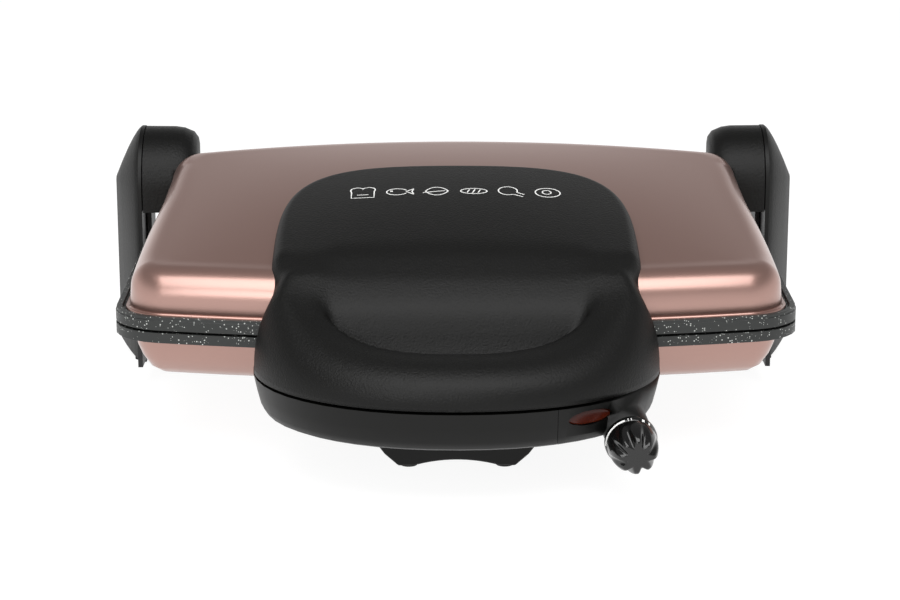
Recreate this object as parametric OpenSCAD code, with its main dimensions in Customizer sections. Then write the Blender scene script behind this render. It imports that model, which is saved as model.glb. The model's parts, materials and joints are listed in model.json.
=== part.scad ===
/* [Cooking plates] */
// Width of the cast plates over their rims
plate_w = 402; // [380:1:420]
// Rear edge of the plates, behind the middle of the grill
plate_rear = 131; // [120:1:131]
// Front edge of the plates at the reference width, before the middle of the grill
plate_front = 90; // [80:1:94]
// How far the middle of the front edge bows forward of that
front_bow = 14; // [8:0.5:16]
// Corner radius of the rims in plan
rim_corner = 26; // [20:1:30]
// Thickness of each rim
rim_t = 6; // [5:0.25:7]
// Gap between the two rims when the lid is down
rim_gap = 1.5; // [1:0.1:2]
// Height of the parting plane above the table
part_z = 77.5; // [76:0.25:79]
// Depth of the tray under a rim
tray_depth = 5; // [4:0.25:6]
// Width of the flat land round the tray
rim_land = 18; // [17.5:0.5:20]
// Height of a grill rib
rib_h = 3.5; // [2.5:0.25:4]
// Number of grill ribs
rib_count = 22; // [16:1:26]
// Height of the lip that runs round the lid flange
lip_h = 2; // [1:0.25:2.5]

/* [Lid] */
// Gap in plan between the rim edge and the foot of the lid wall
lid_inset = 8; // [7:0.25:10]
// Sheet thickness of the lid and of the lower shell
sheet_t = 1.6; // [1.2:0.1:2]
// Width of the flange at the foot of the lid wall
flange_w = 2.5; // [2:0.25:3]
// Height of the lid at its front fold
lid_front_h = 107; // [105:0.5:109]
// Rise of the lid per millimetre of depth
lid_slope = 0.18; // [0.17:0.005:0.185]
// Crown of the lid across its width
lid_crown = 13; // [10:0.5:14]
// Radius of the front fold
fold_front = 19; // [16:0.5:20]
// Radius of the side folds
fold_side = 15; // [12:0.5:16]
// Radius of the rear fold
fold_rear = 12; // [10:0.5:13]

/* [Handle and housing] */
// Half width of the handle
grip_half = 118; // [112:1:120]
// Depth of the half ellipse that is the front of the handle
grip_reach = 94; // [88:1:96]
// Rear edge of the handle, behind the middle of the grill
handle_rear = 53; // [45:1:56]
// Height of the crest of the grip at the middle
grip_crest = 83; // [81:0.5:85]
// Height of the two horns
horn_top = 113; // [110:0.5:114]
// Height of the floor of the finger scoop
scoop_floor = 64; // [63.5:0.5:66]
// Underside of the handle
handle_base = 59.3; // [59:0.1:60]
// How much narrower the handle is on the lid than at its grip
neck = 10.5; // [9:0.5:12]
// Wall of the moulded parts
wall = 2.6; // [2.2:0.1:3]
// Gap between the handle and the housing under it
front_gap = 1.8; // [1.4:0.1:2.2]
// Underside of the front housing
housing_base = 33; // [32:0.5:34]
// Where the control panel meets the front housing
panel_x = 55; // [50:1:58]

/* [Lower shell and feet] */
// Underside of the lower shell
shell_base = 43; // [42:0.5:44]
// Half width of the front foot where it meets the housing
foot_top = 52; // [48:1:54]
// Half width of the front foot on the table
foot_tip = 34; // [30:1:38]
// Height of the arch under the front foot
arch_h = 3.7; // [3:0.1:4.5]
// Thickness of the rubber pads
pad_t = 1.5; // [1:0.1:2]

/* [Towers and hinge] */
// Inner face of a tower, from the middle
tower_in = 203; // [202.5:0.1:205]
// Bulge of a tower beyond its inner face
tower_bulge = 20.5; // [18:0.25:21]
// Half depth of a tower
tower_r = 36; // [34:0.5:36]
// Height of a tower
tower_h = 153; // [150:0.5:154]
// Hinge axis, behind the middle of the grill
hinge_y = 148; // [147:0.25:150]
// Diameter of a hinge pin
pin_d = 8; // [6:0.5:9]
// Travel of the floating hinge
hinge_travel = 20; // [12:1:22]
// Radial running clearance of the pins and of the knob shaft
run_fit = 0.05; // [0.03:0.01:0.08]

/* [Knob] */
// Diameter of the knob
knob_d = 30; // [26:0.5:31]
// Length of the knob
knob_l = 22; // [18:0.5:24]
// Diameter of the knob shaft
shaft_d = 6; // [5:0.25:6.5]
// Number of flutes round the knob
flute_count = 8; // [6:1:10]

/* [Hidden] */

$fn = 48;
eps = 0.01;
seat_gap = 0.3;

half_w = plate_w / 2;
bow_ref = 150;
low_top = part_z - rim_gap / 2;
low_bottom = low_top - rim_t;
up_bottom = part_z + rim_gap / 2;
up_top = up_bottom + rim_t;
lid_foot = up_top + 1.2;
grip_y = -90;
housing_top = handle_base - front_gap;

// Colours
rose = [0.66, 0.53, 0.50];
black = [0.16, 0.16, 0.16];
granite = [0.27, 0.28, 0.27];
steel = [0.7, 0.7, 0.72];
rubber = [0.1, 0.1, 0.1];
copper = [0.75, 0.45, 0.3];

function clamp(v, a, b) = min(max(v, a), b);
function mix(a, b, t) = a + (b - a) * t;
function smooth(t) = let (c = clamp(t, 0, 1)) c * c * (3 - 2 * c);
function smin(a, b, k) = let (h = max(k - abs(a - b), 0) / k) min(a, b) - h * h * k / 4;

// Half of a rounded outline, front middle to rear middle, each point with its outward normal
function half_pan(w, yf, yr, rf, rr, n) = concat(
    [for (i = [0:n]) [(w - rf) * i / n, yf, 0, -1]],
    [for (i = [1:n]) let (a = -90 + 90 * i / n)
        [w - rf + rf * cos(a), yf + rf + rf * sin(a), cos(a), sin(a)]],
    [for (i = [1:n]) [w, mix(yf + rf, yr - rr, i / n), 1, 0]],
    [for (i = [1:n]) let (a = 90 * i / n)
        [w - rr + rr * cos(a), yr - rr + rr * sin(a), cos(a), sin(a)]],
    [for (i = [1:n]) [(w - rr) * (1 - i / n), yr, 0, 1]]);
function bow_at(x, y, yf) = front_bow * (1 - pow(x / bow_ref, 2)) * clamp(y / yf, 0, 1);
function pan(w, yf, yr, rf, rr, n = 6) = let (
    half = [for (p = half_pan(w, yf, yr, rf, rr, n)) [p[0], p[1] - bow_at(p[0], p[1], yf), p[2], p[3]]],
    last = len(half) - 1)
    concat(half, [for (i = [last - 1:-1:1]) [-half[i][0], half[i][1], -half[i][2], half[i][3]]]);
// The rim outline drawn in by s
function rim(s, n = 6) = pan(half_w - s, -plate_front + s, plate_rear - s,
    max(rim_corner - s, 4), max(rim_corner - s, 4), n);
function flat_points(p) = [for (q = p) [q[0], q[1]]];

// A solid skinned over rings that run anticlockwise, lowest first
module loft(rings, apex = undef) {
    n = len(rings[0]);
    m = len(rings);
    points = concat([for (r = rings) each r], apex == undef ? [] : [apex]);
    sides = [for (k = [0:m - 2], j = [0:n - 1])
        let (a = k * n + j, b = k * n + (j + 1) % n) each [[a, a + n, b + n], [a, b + n, b]]];
    floor_face = [[for (j = [0:n - 1]) j]];
    roof = apex == undef ? [[for (j = [n - 1:-1:0]) (m - 1) * n + j]]
        : [for (j = [0:n - 1]) [(m - 1) * n + j, m * n, (m - 1) * n + (j + 1) % n]];
    polyhedron(points, concat(floor_face, sides, roof));
}

// A solid under a grid of points, down to a flat base; rows run front to rear
module terrain(rows, base) {
    m = len(rows);
    n = len(rows[0]);
    edge = concat([for (i = [0:n - 1]) i], [for (j = [1:m - 1]) j * n + n - 1],
        [for (i = [n - 2:-1:0]) (m - 1) * n + i], [for (j = [m - 2:-1:1]) j * n]);
    e = len(edge);
    top = [for (r = rows) each r];
    feet = [for (k = edge) [top[k][0], top[k][1], base]];
    skin = [for (j = [0:m - 2], i = [0:n - 2]) let (a = j * n + i)
        each [[a, a + n, a + n + 1], [a, a + n + 1, a + 1]]];
    sides = [for (k = [0:e - 1]) let (a = m * n + k, b = m * n + (k + 1) % e)
        each [[a, edge[k], edge[(k + 1) % e]], [a, edge[(k + 1) % e], b]]];
    polyhedron(concat(top, feet), concat(skin, sides, [[for (k = [0:e - 1]) m * n + k]]));
}

// Top of the lid over a point in plan
function lid_top(x, y) = lid_front_h + lid_slope * (y + 82)
    + (lid_crown - 10 * pow((y - 35) / 117, 2)) * (1 - pow(x / 180, 2));

// Lean of the lid wall from upright, and its fold radius, for an outward normal
function lid_lean(nx, ny, y) = nx * nx * (2 + 14 * clamp((y + 82) / 130, 0, 1))
    + ny * ny * (ny < 0 ? -4 : 1);
function lid_fold(nx, ny) = nx * nx * fold_side + ny * ny * (ny < 0 ? fold_front : fold_rear);
function fold_inset(h, r, d) = r * cos(d) + (h - r + r * sin(d)) * tan(d);

// One ring of the lid, g outside its nominal surface; t runs 0 foot, 1 start of fold, 2 top
function lid_ring(t, g, n) = let (
    base = pan(half_w - lid_inset, -plate_front + lid_inset + 1, plate_rear - lid_inset - 2, 22, 30, n))
    [for (p = base) let (
        nx = abs(p[2]), ny = p[3],
        d = lid_lean(nx, ny, p[1]), r = lid_fold(nx, ny),
        h0 = lid_top(p[0] - p[2] * 20, p[1] - ny * 16) - lid_foot,
        s0 = fold_inset(h0, r, d),
        h = lid_top(p[0] - p[2] * s0, p[1] - ny * s0) - lid_foot,
        s1 = fold_inset(h, r, d),
        a = d + (90 - d) * max(t - 1, 0),
        s = t <= 1 ? (h - r + r * sin(d)) * tan(d) * t : s1 - r * cos(a),
        z = t <= 1 ? (h - r + r * sin(d)) * t : h - r + r * sin(a),
        out = g * (t <= 1 ? 1 : cos(a)),
        up = g * (t <= 1 ? 0 : sin(a)))
        [p[0] - p[2] * (s - out), p[1] - ny * (s - out), lid_foot + z + up]];
lid_mid = [0, 20];
function lid_cap(t, g, n) = [for (p = lid_ring(2, 0, n)) let (
    x = mix(p[0], lid_mid[0], t), y = mix(p[1], lid_mid[1], t)) [x, y, lid_top(x, y) + g]];
// The lid as a filled body, g outside its nominal surface
module lid_body(g, n = 6, low = 0) {
    rings = concat(
        [[for (p = lid_ring(0, g, n)) [p[0], p[1], lid_foot - low]]],
        [for (t = [0, 0.5, 1, 1.22, 1.45, 1.7, 1.9]) if (low > 0 || t > 0) lid_ring(t, g, n)],
        [for (t = [0.06, 0.3, 0.6]) lid_cap(t, g, n)]);
    loft(rings, [lid_mid[0], lid_mid[1], lid_top(lid_mid[0], lid_mid[1]) + g]);
}

// Handle form
crest_q = 0.72;
side_crest_q = 0.86;
scoop_q = 0.62;
scoop_back = -115;
front_power = 2.15;
rear_power = 4;
neck_from = -108;
neck_run = 24;
bowl_rise = 30;
bowl_run = 5;
ramp_slope = 0.7;
function grip_t(y) = clamp((y - grip_y) / (handle_rear - grip_y), 0, 1);
// Half width without the round ends: it necks in where the handle passes onto the lid
function grip_span(y) = mix(grip_half, grip_half - neck, smooth((y - neck_from) / neck_run));
function grip_w(y) = grip_span(y) * (y < grip_y
    ? pow(max(1 - pow((grip_y - y) / grip_reach, front_power), 0), 1 / front_power)
    : pow(max(1 - pow(grip_t(y), rear_power), 0), 1 / rear_power));
function power_sum(a, b, n) = pow(pow(a, n) + pow(b, n), 1 / n);
function grip_q(x, y) = let (across = abs(x) / grip_span(y)) y < grip_y
    ? power_sum(across, (grip_y - y) / grip_reach, front_power)
    : power_sum(across, grip_t(y), rear_power);
function round_edge(d, r) = d < r ? r - sqrt(r * r - pow(r - max(d, 0), 2)) : 0;
// Top of the handle, in millimetres under the outer face where in is more than 0
function handle_top(x, y, in) = let (
    q0 = grip_q(x, y),
    q = min(q0 + in / 100, 1),
    u = clamp((grip_y - y) / grip_reach / max(q0, scoop_q), 0, 1),
    crest = horn_top - in - (horn_top - grip_crest) * (1 - pow(1 - u, 1.6)),
    low = handle_base + 3,
    top_q = mix(side_crest_q, crest_q, u),
    flank = q < top_q ? 1 : pow(max(1 - pow((q - top_q) / (1 - top_q), 1.9), 0), 0.5),
    front = low + (crest - low) * flank,
    proud = mix(10, 3, grip_t(y)),
    plate = lid_top(x, y) + proud - in - round_edge((1 - q) * 115, proud - 0.8),
    outer = mix(front, plate, smooth((y + 104) / 34)),
    d1 = (q0 - scoop_q) * 200,
    d2 = y - scoop_back,
    d = sqrt(pow(max(d1, 0), 2) + pow(max(d2, 0), 2)) + min(max(d1, d2), 0) - in,
    e = (d + sqrt(d * d + 9)) / 2,
    bowl = scoop_floor - in + bowl_rise * (1 - exp(-e / bowl_run)) + ramp_slope * e)
    smin(outer, bowl, 8);
// Depths at which the handle's surface has its rows of points
function handle_rows(in, step) = concat(
    [for (a = [87 - in:-7 * step:50]) grip_y - grip_reach * sin(a)],
    [for (y = [-159:5 * step:-84]) y],
    [for (a = [8:10 * step:88]) mix(-84, handle_rear - in, sin(a))]);
grip_widest = max([for (y = handle_rows(0, 1)) grip_w(y)]);
module handle_solid(in, coarse) {
    grid = coarse ? 10 : 16;
    terrain([for (y = handle_rows(in, coarse ? 2 : 1)) [for (i = [-grid:grid])
        let (x = (grip_w(y) - in) * sin(90 * i / grid)) [x, y, handle_top(x, y, in)]]],
        handle_base - in);
}
function grip_ring(inset, back, n = 24) = concat(
    [for (i = [0:n]) let (a = 180 + 180 * i / n, c = cos(a), s = sin(a))
        [(grip_half - inset) * sign(c) * pow(abs(c), 0.93),
            grip_y + (grip_reach - inset) * sign(s) * pow(abs(s), 0.93)]],
    [[grip_half - inset, back], [inset - grip_half, back]]);
function at_height(p, z) = [for (q = p) [q[0], q[1], z]];

// Outer body of the front housing and the control panel, drawn in by t
module housing_body(t, back) {
    steps = [[0, 16], [0.8, 11], [3, 6.5], [7, 4], [15, 2]];
    loft(concat([for (s = steps) at_height(grip_ring(s[1] + t, back), housing_base + s[0] + t)],
        [at_height(grip_ring(t, back), housing_top - t)]));
}
// Outer body of the lower shell, g outside its surface
shell_steps = [[0, 40], [0.8, 33], [3, 26], [7, 20.5], [14, 15.5], [21, 12.5]];
module shell_body(g) {
    top = low_bottom + (g < 0 ? 1 : 0);
    loft(concat([for (s = shell_steps) at_height(rim(s[1] - g), shell_base + s[0] - g)],
        [at_height(rim(11 - g), top)]));
}

// Places of fasteners
plate_screw_at = [for (x = [-150, 150], y = [-55, 95]) [x, y]];
cover_screw_at = [for (x = [-106, 0, 106], y = [-59.5, 54.5]) if (x != 0 || y > 0) [x, y]];
tower_screw_at = [[hinge_y - 22, 20], [hinge_y - 22, 38]];
bar_screw_at = [[-100, 77], [100, 77]];
arm_screw_at = [[153, 108], [153, 128]];
handle_screw_at = [for (x = [-75, 75], y = [-40, 20]) [x, y]];
cover_clip_at = [[hinge_y - 20, 14], [hinge_y + 20, 14], [hinge_y, 136]];

module mirror_x() { children(); mirror([1, 0, 0]) children(); }
module along_x(x0, t) translate([x0, 0, 0]) rotate([90, 0, 90]) linear_extrude(t) children();
module pin_x(x0, x1, y, z, r) translate([x0, y, z]) rotate([0, 90, 0]) cylinder(h = x1 - x0, r = r);
module pin_y(y0, y1, x, z, r) translate([x, y0, z]) rotate([-90, 0, 0]) cylinder(h = y1 - y0, r = r);

// Cooking plates
ribs_x = half_w - 34;
rib_pitch = 2 * ribs_x / rib_count;
module rib(x, y0, y1, z) {
    translate([x, y1, z]) rotate([90, 0, 0]) linear_extrude(y1 - y0)
        polygon([[-3.2, -eps], [3.2, -eps], [1.4, rib_h], [-1.4, rib_h]]);
}
floor_t = 4;
tray_wall = 3;
// The tray's outline drawn in by s, with wide rear corners under the lid's
function tray(s) = pan(half_w - s, -plate_front + s, plate_rear - s, max(rim_corner - s, 4),
    tray_corner + rim_land - s, 6);
tray_corner = 25;
module cooking_plate() {
    // Rim face up at 0; the tray hangs below it
    difference() {
        union() {
            translate([0, 0, -rim_t]) linear_extrude(rim_t) polygon(flat_points(rim(0)));
            translate([0, 0, -tray_depth - floor_t - 2.5])
                linear_extrude(tray_depth + floor_t + 2) polygon(flat_points(tray(rim_land - tray_wall)));
        }
        translate([0, 0, -tray_depth - 2.5]) linear_extrude(tray_depth + 3)
            polygon(flat_points(tray(rim_land)));
    }
    for (i = [0:rib_count - 1])
        rib((i + 0.5) * rib_pitch - ribs_x, -plate_front + 20, plate_rear - 26, -tray_depth - 2.5);
}
tray_under = tray_depth + floor_t + 2.5;
module lower_plate() color(granite) difference() {
    translate([0, 0, low_top]) cooking_plate();
    // Notch that lets the fat run out at the rear
    translate([-20, plate_rear - rim_land - 1, low_top - 2]) cube([40, rim_land + 2, 3]);
    for (p = plate_screw_at) translate([p[0], p[1], low_top - tray_under - 1]) cylinder(h = 3.5, r = 1.7);
}
module upper_plate() color(granite) {
    difference() {
        translate([0, 0, up_bottom]) mirror([0, 0, 1]) cooking_plate();
        for (p = plate_screw_at)
            translate([p[0], p[1], up_bottom + tray_under - 2.5]) cylinder(h = 3.5, r = 1.7);
    }
    translate([0, 0, up_top - eps]) linear_extrude(lip_h + eps) difference() {
        polygon(flat_points(rim(0.6)));
        polygon(flat_points(rim(4)));
    }
}

// Sheathed heating loop that lies on the tray, on both plates; z is its centre
heater_r = 3.25;
bend_r = 28;
heat_x = 120;
heat_rows = [-48, 8, 64];
module heater_loop(z) {
    for (y = heat_rows) translate([-heat_x, y, z]) rotate([0, 90, 0])
        cylinder(h = 2 * heat_x, r = heater_r);
    translate([heat_x, heat_rows[0] + bend_r, z]) rotate([0, 0, -90])
        rotate_extrude(angle = 180) translate([bend_r, 0]) circle(heater_r);
    translate([-heat_x, heat_rows[1] + bend_r, z]) rotate([0, 0, 90])
        rotate_extrude(angle = 180) translate([bend_r, 0]) circle(heater_r);
    for (y = [heat_rows[0], heat_rows[2]])
        translate([y == heat_rows[0] ? -heat_x - 22 : heat_x, y, z]) rotate([0, 90, 0])
            cylinder(h = 22, r = heater_r - 0.4);
}
low_heater_z = low_top - tray_under - heater_r - 0.1;
up_heater_z = up_bottom + tray_under + heater_r + 0.1;
module lower_heater() color(steel) heater_loop(low_heater_z);
module upper_heater() color(steel) heater_loop(up_heater_z);

// Sheet pan behind a heater, with studs that reach the plate
module reflector() {
    linear_extrude(1) difference() {
        square([340, 176], center = true);
        for (x = [-60, 60]) translate([x, 0]) circle(8);
        for (p = plate_screw_at) translate([p[0], p[1] - 20]) circle(1.9);
    }
    for (x = [-170, 169]) translate([x, -88, 0]) cube([1, 176, 5]);
    for (y = [-88, 87]) translate([-170, y, 0]) cube([340, 1, 5]);
}
stud_h = 9;
module plate_studs() {
    for (p = plate_screw_at) translate([p[0], p[1], 0]) difference() {
        cylinder(h = stud_h, r = 5);
        translate([0, 0, -1]) cylinder(h = stud_h + 2, r = 2.1);
    }
}
low_sheet_z = low_top - tray_under - stud_h - 1;
up_sheet_z = up_bottom + tray_under + stud_h;
module lower_reflector() color(steel) {
    translate([0, 20, low_sheet_z]) reflector();
    translate([0, 0, low_sheet_z + 1 - eps]) plate_studs();
}
module upper_reflector() color(steel) {
    translate([0, 20, up_sheet_z + 1]) mirror([0, 0, 1]) reflector();
    translate([0, 0, up_sheet_z - stud_h + eps]) plate_studs();
}
module stud_screws(z, up) {
    for (p = plate_screw_at) translate([p[0], p[1], z]) mirror([0, 0, up ? 0 : 1]) {
        translate([0, 0, -2.2]) cylinder(h = 2.2, r = 3.5);
        cylinder(h = stud_h + 3, r = 1.65);
    }
}
module lower_plate_screws() color(steel) stud_screws(low_sheet_z, true);
module upper_plate_screws() color(steel) stud_screws(up_sheet_z + 1, false);

// Lower shell
gland_x = 70;
gland_z = 58;
shell_rear = plate_rear - 15.5;
module lower_shell() color(rose) difference() {
    shell_body(0);
    shell_body(-sheet_t);
    translate([-99, -52, shell_base - 3]) cube([198, 100, 6]);
    pin_y(shell_rear - 8, shell_rear + 8, gland_x, gland_z, 7.2);
    translate([30, -plate_front - 16, 50]) rotate([-90, 0, 0]) cylinder(h = 32, r = 4);
    for (p = concat(cover_screw_at, bar_screw_at))
        translate([p[0], p[1], shell_base - 1]) cylinder(h = 4, r = 1.7);
}
cover_t = 1.5;
module bottom_cover() color(black) difference() {
    translate([-113, -66, shell_base - cover_t]) cube([226, 126, cover_t]);
    for (p = cover_screw_at) translate([p[0], p[1], shell_base - cover_t - 1]) cylinder(h = 4, r = 2);
    for (i = [-5:5]) if (i != 0)
        translate([i * 15 - 2, -25, shell_base - cover_t - 1]) cube([4, 50, cover_t + 2]);
}
module bottom_cover_screws() color(steel) for (p = cover_screw_at)
    translate([p[0], p[1], shell_base - cover_t]) {
        translate([0, 0, -2]) cylinder(h = 2, r = 3.4);
        cylinder(h = 7, r = 1.65);
    }

// Knob axis: its origin is the middle of the knob's rear face
knob_at = [96.5, -157.5, 34.7];
knob_tilt = 10;
knob_turn = 7;
module on_knob_axis() translate(knob_at) rotate([90 + knob_tilt, 0, knob_turn]) children();
boss_l = 28;
stat_z = -boss_l - 1.6;
module boss_outer() on_knob_axis() translate([0, 0, -boss_l]) cylinder(h = boss_l - 0.6, r = 13.4);

module front_housing() color(black) difference() {
    housing_body(0, -70);
    housing_body(wall, -60);
    shell_body(0.3);
    translate([panel_x, -200, 0]) cube([100, 200, 100]);
}
lens_at = [72.5, -161.2, 50];
lens_turn = 31;
function ellipse(a, b, n = 32) = [for (i = [0:n - 1]) [a * cos(360 * i / n), b * sin(360 * i / n)]];
module on_lens_axis() translate(lens_at) rotate([90, 0, lens_turn]) children();
module control_panel() color(black) difference() {
    union() {
        intersection() {
            difference() { housing_body(0, -70); housing_body(wall, -60); shell_body(0.3); }
            translate([panel_x + 0.25, -200, 0]) cube([100, 200, 100]);
        }
        boss_outer();
    }
    on_knob_axis() {
        translate([0, 0, -40]) cylinder(h = 60, r = shaft_d / 2 + run_fit);
        translate([0, 0, -40]) cylinder(h = 34, r = 9);
    }
    on_lens_axis() translate([0, 0, -8]) linear_extrude(20) polygon(ellipse(14.7, 4.6));
}
module indicator_lens() color([0.6, 0.15, 0.08]) on_lens_axis() {
    translate([0, 0, -3.5]) linear_extrude(4) polygon(ellipse(14.4, 4.3));
    translate([0, 0, 0.5 - eps]) linear_extrude(0.9, scale = 0.7) polygon(ellipse(14.4, 4.3));
}
module indicator_lamp() color([0.9, 0.6, 0.3]) on_lens_axis() translate([0, 0, -3.8]) {
    mirror([0, 0, 1]) cylinder(h = 13, r = 3);
    translate([0, 0, -17]) cylinder(h = 6, r = 4);
}

// Thermostat behind the knob, on a bracket that hangs from the boss
module thermostat_body() color(steel) on_knob_axis() translate([0, 0, stat_z - 16]) difference() {
    union() {
        translate([-17, -3.6, 0]) cube([20.4, 14.6, 16]);
        translate([0, 0, 15.9]) cylinder(h = 5, r = 5);
    }
    translate([0, 0, 4]) cylinder(h = 20, r = shaft_d / 2 + run_fit);
}
module thermostat_bracket() color(steel) on_knob_axis() difference() {
    translate([-17, -3.6, stat_z]) cube([20.4, 14.6, 1.6]);
    translate([0, 0, stat_z - 1]) cylinder(h = 10, r = 5.1);
}

// Knob and its shaft
module knob() color([0.1, 0.1, 0.1]) on_knob_axis() difference() {
    union() {
        cylinder(h = 4, r = knob_d / 2);
        translate([0, 0, 4 - eps]) cylinder(h = knob_l - 4, r1 = knob_d / 2 - 1, r2 = knob_d / 2 - 4);
    }
    for (i = [0:flute_count - 1]) rotate([0, 0, 360 * (i + 0.5) / flute_count])
        translate([knob_d / 2 + 1.5, 0, 3]) rotate([0, -12, 0]) cylinder(h = knob_l + 10, r = 4.2);
    translate([0, 0, -1]) cylinder(h = knob_l - 4, r = shaft_d / 2);
}
module knob_shaft() color(steel) on_knob_axis() difference() {
    translate([0, 0, -37.5]) cylinder(h = 37.5 + knob_l - 5.5, r = shaft_d / 2);
    translate([shaft_d / 2 - 1.2, -5, 2]) cube([5, 10, knob_l]);
}

// Front foot, under the housing and the bottom cover that it bears on
module front_foot() color(black) difference() {
    steps = [
        [pad_t, foot_tip, -104, -60],
        [9, foot_tip + 8, -105, -58],
        [16, foot_top - 5, -106, -57],
        [housing_base - 4, foot_top - 1, -109, -52],
        [shell_base - cover_t - 0.05, foot_top, -109, -50]];
    loft([for (s = steps)
        [[-s[1], s[2], s[0]], [s[1], s[2], s[0]], [s[1], s[3], s[0]], [-s[1], s[3], s[0]]]]);
    translate([-200, -200, housing_base - 0.05]) cube([400, 130.2, 60]);
    arch_r = (pow(foot_tip - 9, 2) + pow(arch_h, 2)) / (2 * arch_h);
    pin_y(-200, 0, 0, pad_t + arch_h - arch_r, arch_r);
}
module front_foot_pads() color(rubber) for (s = [-1, 1], y = [-96, -68])
    translate([s * (foot_tip - 6), y, 0]) cylinder(h = pad_t, r = 5);

// Towers, drawn for the right side
function tomb(i, low, n = 16) = let (r = tower_r - i) concat([[hinge_y + r, low]],
    [for (k = [0:n]) [hinge_y + r * cos(180 * k / n), tower_h - tower_r + r * sin(180 * k / n)]],
    [[hinge_y - r, low]]);
function at_x(p, x) = [for (q = p) [x, q[0], q[1]]];
frame_t = 2.5;
clip_seat = 1.7;
clip_post = 7;
cover_in = tower_in + frame_t;
function bulge_x(i) = cover_in + (tower_bulge - frame_t) * pow(i / (tower_r - 2), 0.75);
rail_w = 2.6;
slider_w = 18;
slider_h = 22;
slider_t = 4;
slot_r = pin_d / 2 + 0.4;
module slot_shape(y, z, travel, r) {
    translate([y, z]) circle(r);
    translate([y, z + travel]) circle(r);
    translate([y - r, z]) square([2 * r, travel]);
}
module tower_frame() color(black) difference() {
    union() {
        along_x(tower_in, frame_t) polygon(tomb(0, pad_t));
        for (s = [-1, 1])
            translate([cover_in - eps, hinge_y + s * (slider_w / 2 + seat_gap + rail_w / 2) - rail_w / 2,
                part_z - slider_h / 2 - 4])
                cube([slider_t, rail_w, slider_h + hinge_travel + 8]);
        for (z = [part_z - slider_h / 2 - 4, part_z + slider_h / 2 + hinge_travel + seat_gap])
            translate([cover_in - eps, hinge_y - slider_w / 2 - seat_gap - rail_w / 2, z])
                cube([slider_t, slider_w + 2 * seat_gap + rail_w, 4 - seat_gap]);
        for (p = tower_screw_at) pin_x(cover_in - eps, cover_in + 0.8, p[0], p[1], 3.5);
    }
    along_x(tower_in - 1, 20) slot_shape(hinge_y, part_z, hinge_travel, slot_r);
    for (p = tower_screw_at) pin_x(tower_in - 1, cover_in + 2, p[0], p[1], 1.7);
    for (p = cover_clip_at) {
        pin_x(tower_in - 1, cover_in + 2, p[0], p[1], 1.6);
        pin_x(tower_in - 1, tower_in + clip_seat, p[0], p[1], 3.2);
    }
}
module tower_cover() color(black) difference() {
    union() {
        difference() {
            loft([for (i = [0, 1.2, 3.5, 8, 14, 22, 33]) at_x(tomb(i, pad_t + 0.25 * i), bulge_x(i))]);
            loft(concat(
                [at_x(tomb(7.5, pad_t + wall), cover_in - 0.2)],
                [for (i = [6, 12, 20, 30])
                    at_x(tomb(i + wall, pad_t + wall + 0.25 * i), bulge_x(i) - wall)]));
        }
        for (p = cover_clip_at) pin_x(cover_in, cover_in + clip_post, p[0], p[1], 4);
    }
    for (p = cover_clip_at) pin_x(cover_in - 1, cover_in + clip_post - 1, p[0], p[1], 1.55);
}
module right_tower_frame() tower_frame();
module left_tower_frame() mirror([1, 0, 0]) tower_frame();
module right_tower_cover() tower_cover();
module left_tower_cover() mirror([1, 0, 0]) tower_cover();
module tower_foot_pads() color(rubber) mirror_x() for (y = [hinge_y - 22, hinge_y + 22])
    translate([tower_in + 5, y, 0]) cylinder(h = pad_t, r = 4);
module tower_screws() color(steel) mirror_x() {
    for (p = tower_screw_at) {
        pin_x(tower_in - 5, tower_in - 3, p[0], p[1], 3.5);
        pin_x(tower_in - 3.1, cover_in + 0.6, p[0], p[1], 1.65);
    }
    for (p = cover_clip_at) {
        pin_x(tower_in + 0.1, tower_in + clip_seat, p[0], p[1], 2.9);
        pin_x(tower_in + clip_seat - 0.1, cover_in + clip_post - 1.4, p[0], p[1], 1.45);
    }
    translate([bar_screw_at[1][0], bar_screw_at[1][1], shell_base - 7]) {
        cylinder(h = 2, r = 3.5);
        cylinder(h = 10, r = 1.65);
    }
}
// Bar that joins the towers under the shell
bar_t = 3;
module rear_crossbar() color(steel) difference() {
    union() {
        translate([-tower_in + bar_t, 64, shell_base - 5]) cube([2 * (tower_in - bar_t), 26, 5]);
        mirror_x() translate([tower_in - bar_t, 64, 12]) cube([bar_t, 67, shell_base - 12]);
    }
    for (p = bar_screw_at) translate([p[0], p[1], shell_base - 6]) cylinder(h = 7, r = 1.8);
    mirror_x() for (p = tower_screw_at) pin_x(tower_in - 10, tower_in + 1, p[0], p[1], 1.9);
}

// Floating hinge
slider_x = cover_in + seat_gap;
module slider() color(steel) difference() {
    translate([slider_x, hinge_y - slider_w / 2, part_z - slider_h / 2])
        cube([slider_t, slider_w, slider_h]);
    pin_x(slider_x - 1, slider_x + 10, hinge_y, part_z, pin_d / 2);
}
module pivot_pin() color(steel) {
    pin_x(tower_in - 6, tower_in - 3.8, hinge_y, part_z, 7);
    pin_x(tower_in - 4, slider_x + slider_t + 1.8, hinge_y, part_z, pin_d / 2);
}
module right_slider() slider();
module left_slider() mirror([1, 0, 0]) slider();
module right_pivot_pin() pivot_pin();
module left_pivot_pin() mirror([1, 0, 0]) pivot_pin();
module pivot_clips() color(steel) mirror_x() difference() {
    pin_x(slider_x + slider_t + 0.1, slider_x + slider_t + 1, hinge_y, part_z, 6.5);
    pin_x(slider_x, slider_x + 10, hinge_y, part_z, pin_d / 2);
}

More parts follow.
